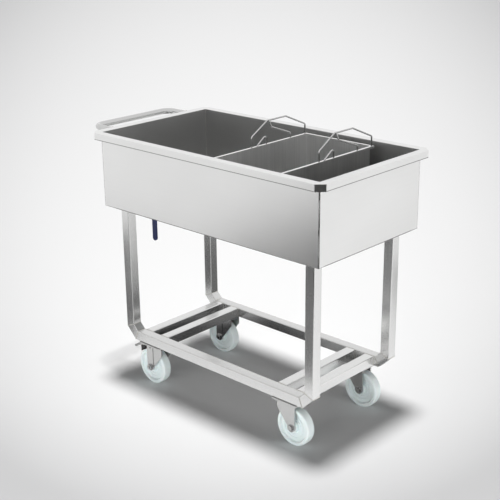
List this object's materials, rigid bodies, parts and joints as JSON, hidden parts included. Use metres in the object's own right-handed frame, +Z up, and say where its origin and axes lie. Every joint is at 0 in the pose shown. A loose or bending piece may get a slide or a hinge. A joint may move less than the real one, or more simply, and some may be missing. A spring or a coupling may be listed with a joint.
{
  "type": "cooking basket trolley",
  "caption": "Wheeled stainless steel tub on a square tube frame, holding a lift-out cooking basket, with a drain valve, push handle and swivel castors.",
  "frame": {"origin": "on the floor below the middle of the whole length and width, push handle included", "axes": "+Z up, +X along the tub away from the push handle, -Y towards the front long side"},
  "size_m": [1.2704, 0.626, 1.115],
  "materials": {
    "stainless": "satin",
    "bright_wire": "polished",
    "nylon": "smooth",
    "rubber": "matt",
    "blue_sleeve": "satin"
  },
  "bodies": {
    "trolley": {"castor_bolts": "stainless", "castor_plate_front_left": "stainless", "castor_plate_front_right": "stainless", "castor_plate_rear_left": "stainless", "castor_plate_rear_right": "stainless", "drain_elbow": "stainless", "inner_cross_rail_left": "stainless", "inner_cross_rail_right": "stainless", "kingpins": "stainless", "knee_front_left": "stainless", "knee_front_right": "stainless", "knee_rear_left": "stainless", "knee_rear_right": "stainless", "leg_front_left": "stainless", "leg_front_right": "stainless", "leg_rear_left": "stainless", "leg_rear_right": "stainless", "long_rail_front": "stainless", "long_rail_rear": "stainless", "outer_cross_rail_left": "stainless", "outer_cross_rail_right": "stainless", "outlet_spout": "stainless", "push_handle": "stainless", "tub_shell": "stainless", "valve_body": "stainless"},
    "castor_front_left": {"fork_front_left": "stainless", "swivel_race_front_left": "stainless", "axle_bush_front_left": "stainless", "axle_bolt_front_left": "stainless", "brake_pin_front_left": "stainless"},
    "wheel_front_left": {"wheel_front_left": "nylon"},
    "brake_front_left": {"brake_pedal_front_left": "stainless", "brake_shoe_front_left": "rubber"},
    "castor_front_right": {"fork_front_right": "stainless", "swivel_race_front_right": "stainless", "axle_bush_front_right": "stainless", "axle_bolt_front_right": "stainless"},
    "wheel_front_right": {"wheel_front_right": "nylon"},
    "castor_rear_left": {"fork_rear_left": "stainless", "swivel_race_rear_left": "stainless", "axle_bush_rear_left": "stainless", "axle_bolt_rear_left": "stainless", "brake_pin_rear_left": "stainless"},
    "wheel_rear_left": {"wheel_rear_left": "nylon"},
    "brake_rear_left": {"brake_pedal_rear_left": "stainless", "brake_shoe_rear_left": "rubber"},
    "castor_rear_right": {"fork_rear_right": "stainless", "swivel_race_rear_right": "stainless", "axle_bush_rear_right": "stainless", "axle_bolt_rear_right": "stainless"},
    "wheel_rear_right": {"wheel_rear_right": "nylon"},
    "valve_handle": {"valve_ball": "stainless", "valve_stem": "stainless", "valve_lever": "stainless", "lever_sleeve": "blue_sleeve", "lever_nut": "stainless"},
    "basket": {"basket_shell": "stainless", "basket_floor": "stainless", "basket_handle_left": "bright_wire", "basket_handle_right": "bright_wire"}
  },
  "joints": [
    {"name": "swivel_front_left", "type": "hinge", "parent": "trolley", "child": "castor_front_left", "pos_m": [-0.29625, -0.201, 0.17], "axis": [0, 0, 1], "continuous": true},
    {"name": "roll_front_left", "type": "hinge", "parent": "castor_front_left", "child": "wheel_front_left", "pos_m": [-0.31625, -0.201, 0.075], "axis": [0, 1, 0], "continuous": true},
    {"name": "brake_front_left", "type": "hinge", "parent": "castor_front_left", "child": "brake_front_left", "pos_m": [-0.31625, -0.201, 0.159], "axis": [0, -1, 0], "range_deg": [0, 5.3]},
    {"name": "swivel_front_right", "type": "hinge", "parent": "trolley", "child": "castor_front_right", "pos_m": [0.42075, -0.201, 0.17], "axis": [0, 0, 1], "continuous": true},
    {"name": "roll_front_right", "type": "hinge", "parent": "castor_front_right", "child": "wheel_front_right", "pos_m": [0.44075, -0.201, 0.075], "axis": [0, 1, 0], "continuous": true},
    {"name": "swivel_rear_left", "type": "hinge", "parent": "trolley", "child": "castor_rear_left", "pos_m": [-0.29625, 0.201, 0.17], "axis": [0, 0, 1], "continuous": true},
    {"name": "roll_rear_left", "type": "hinge", "parent": "castor_rear_left", "child": "wheel_rear_left", "pos_m": [-0.31625, 0.201, 0.075], "axis": [0, 1, 0], "continuous": true},
    {"name": "brake_rear_left", "type": "hinge", "parent": "castor_rear_left", "child": "brake_rear_left", "pos_m": [-0.31625, 0.201, 0.159], "axis": [0, -1, 0], "range_deg": [0, 5.3]},
    {"name": "swivel_rear_right", "type": "hinge", "parent": "trolley", "child": "castor_rear_right", "pos_m": [0.42075, 0.201, 0.17], "axis": [0, 0, 1], "continuous": true},
    {"name": "roll_rear_right", "type": "hinge", "parent": "castor_rear_right", "child": "wheel_rear_right", "pos_m": [0.44075, 0.201, 0.075], "axis": [0, 1, 0], "continuous": true},
    {"name": "valve_turn", "type": "hinge", "parent": "trolley", "child": "valve_handle", "pos_m": [-0.46175, 0, 0.703], "axis": [0, -1, 0], "range_deg": [0, 90]},
    {"name": "basket_lift", "type": "slide", "parent": "trolley", "child": "basket", "axis": [0, 0, 1], "range_m": [0, 0.32]}
  ]
}
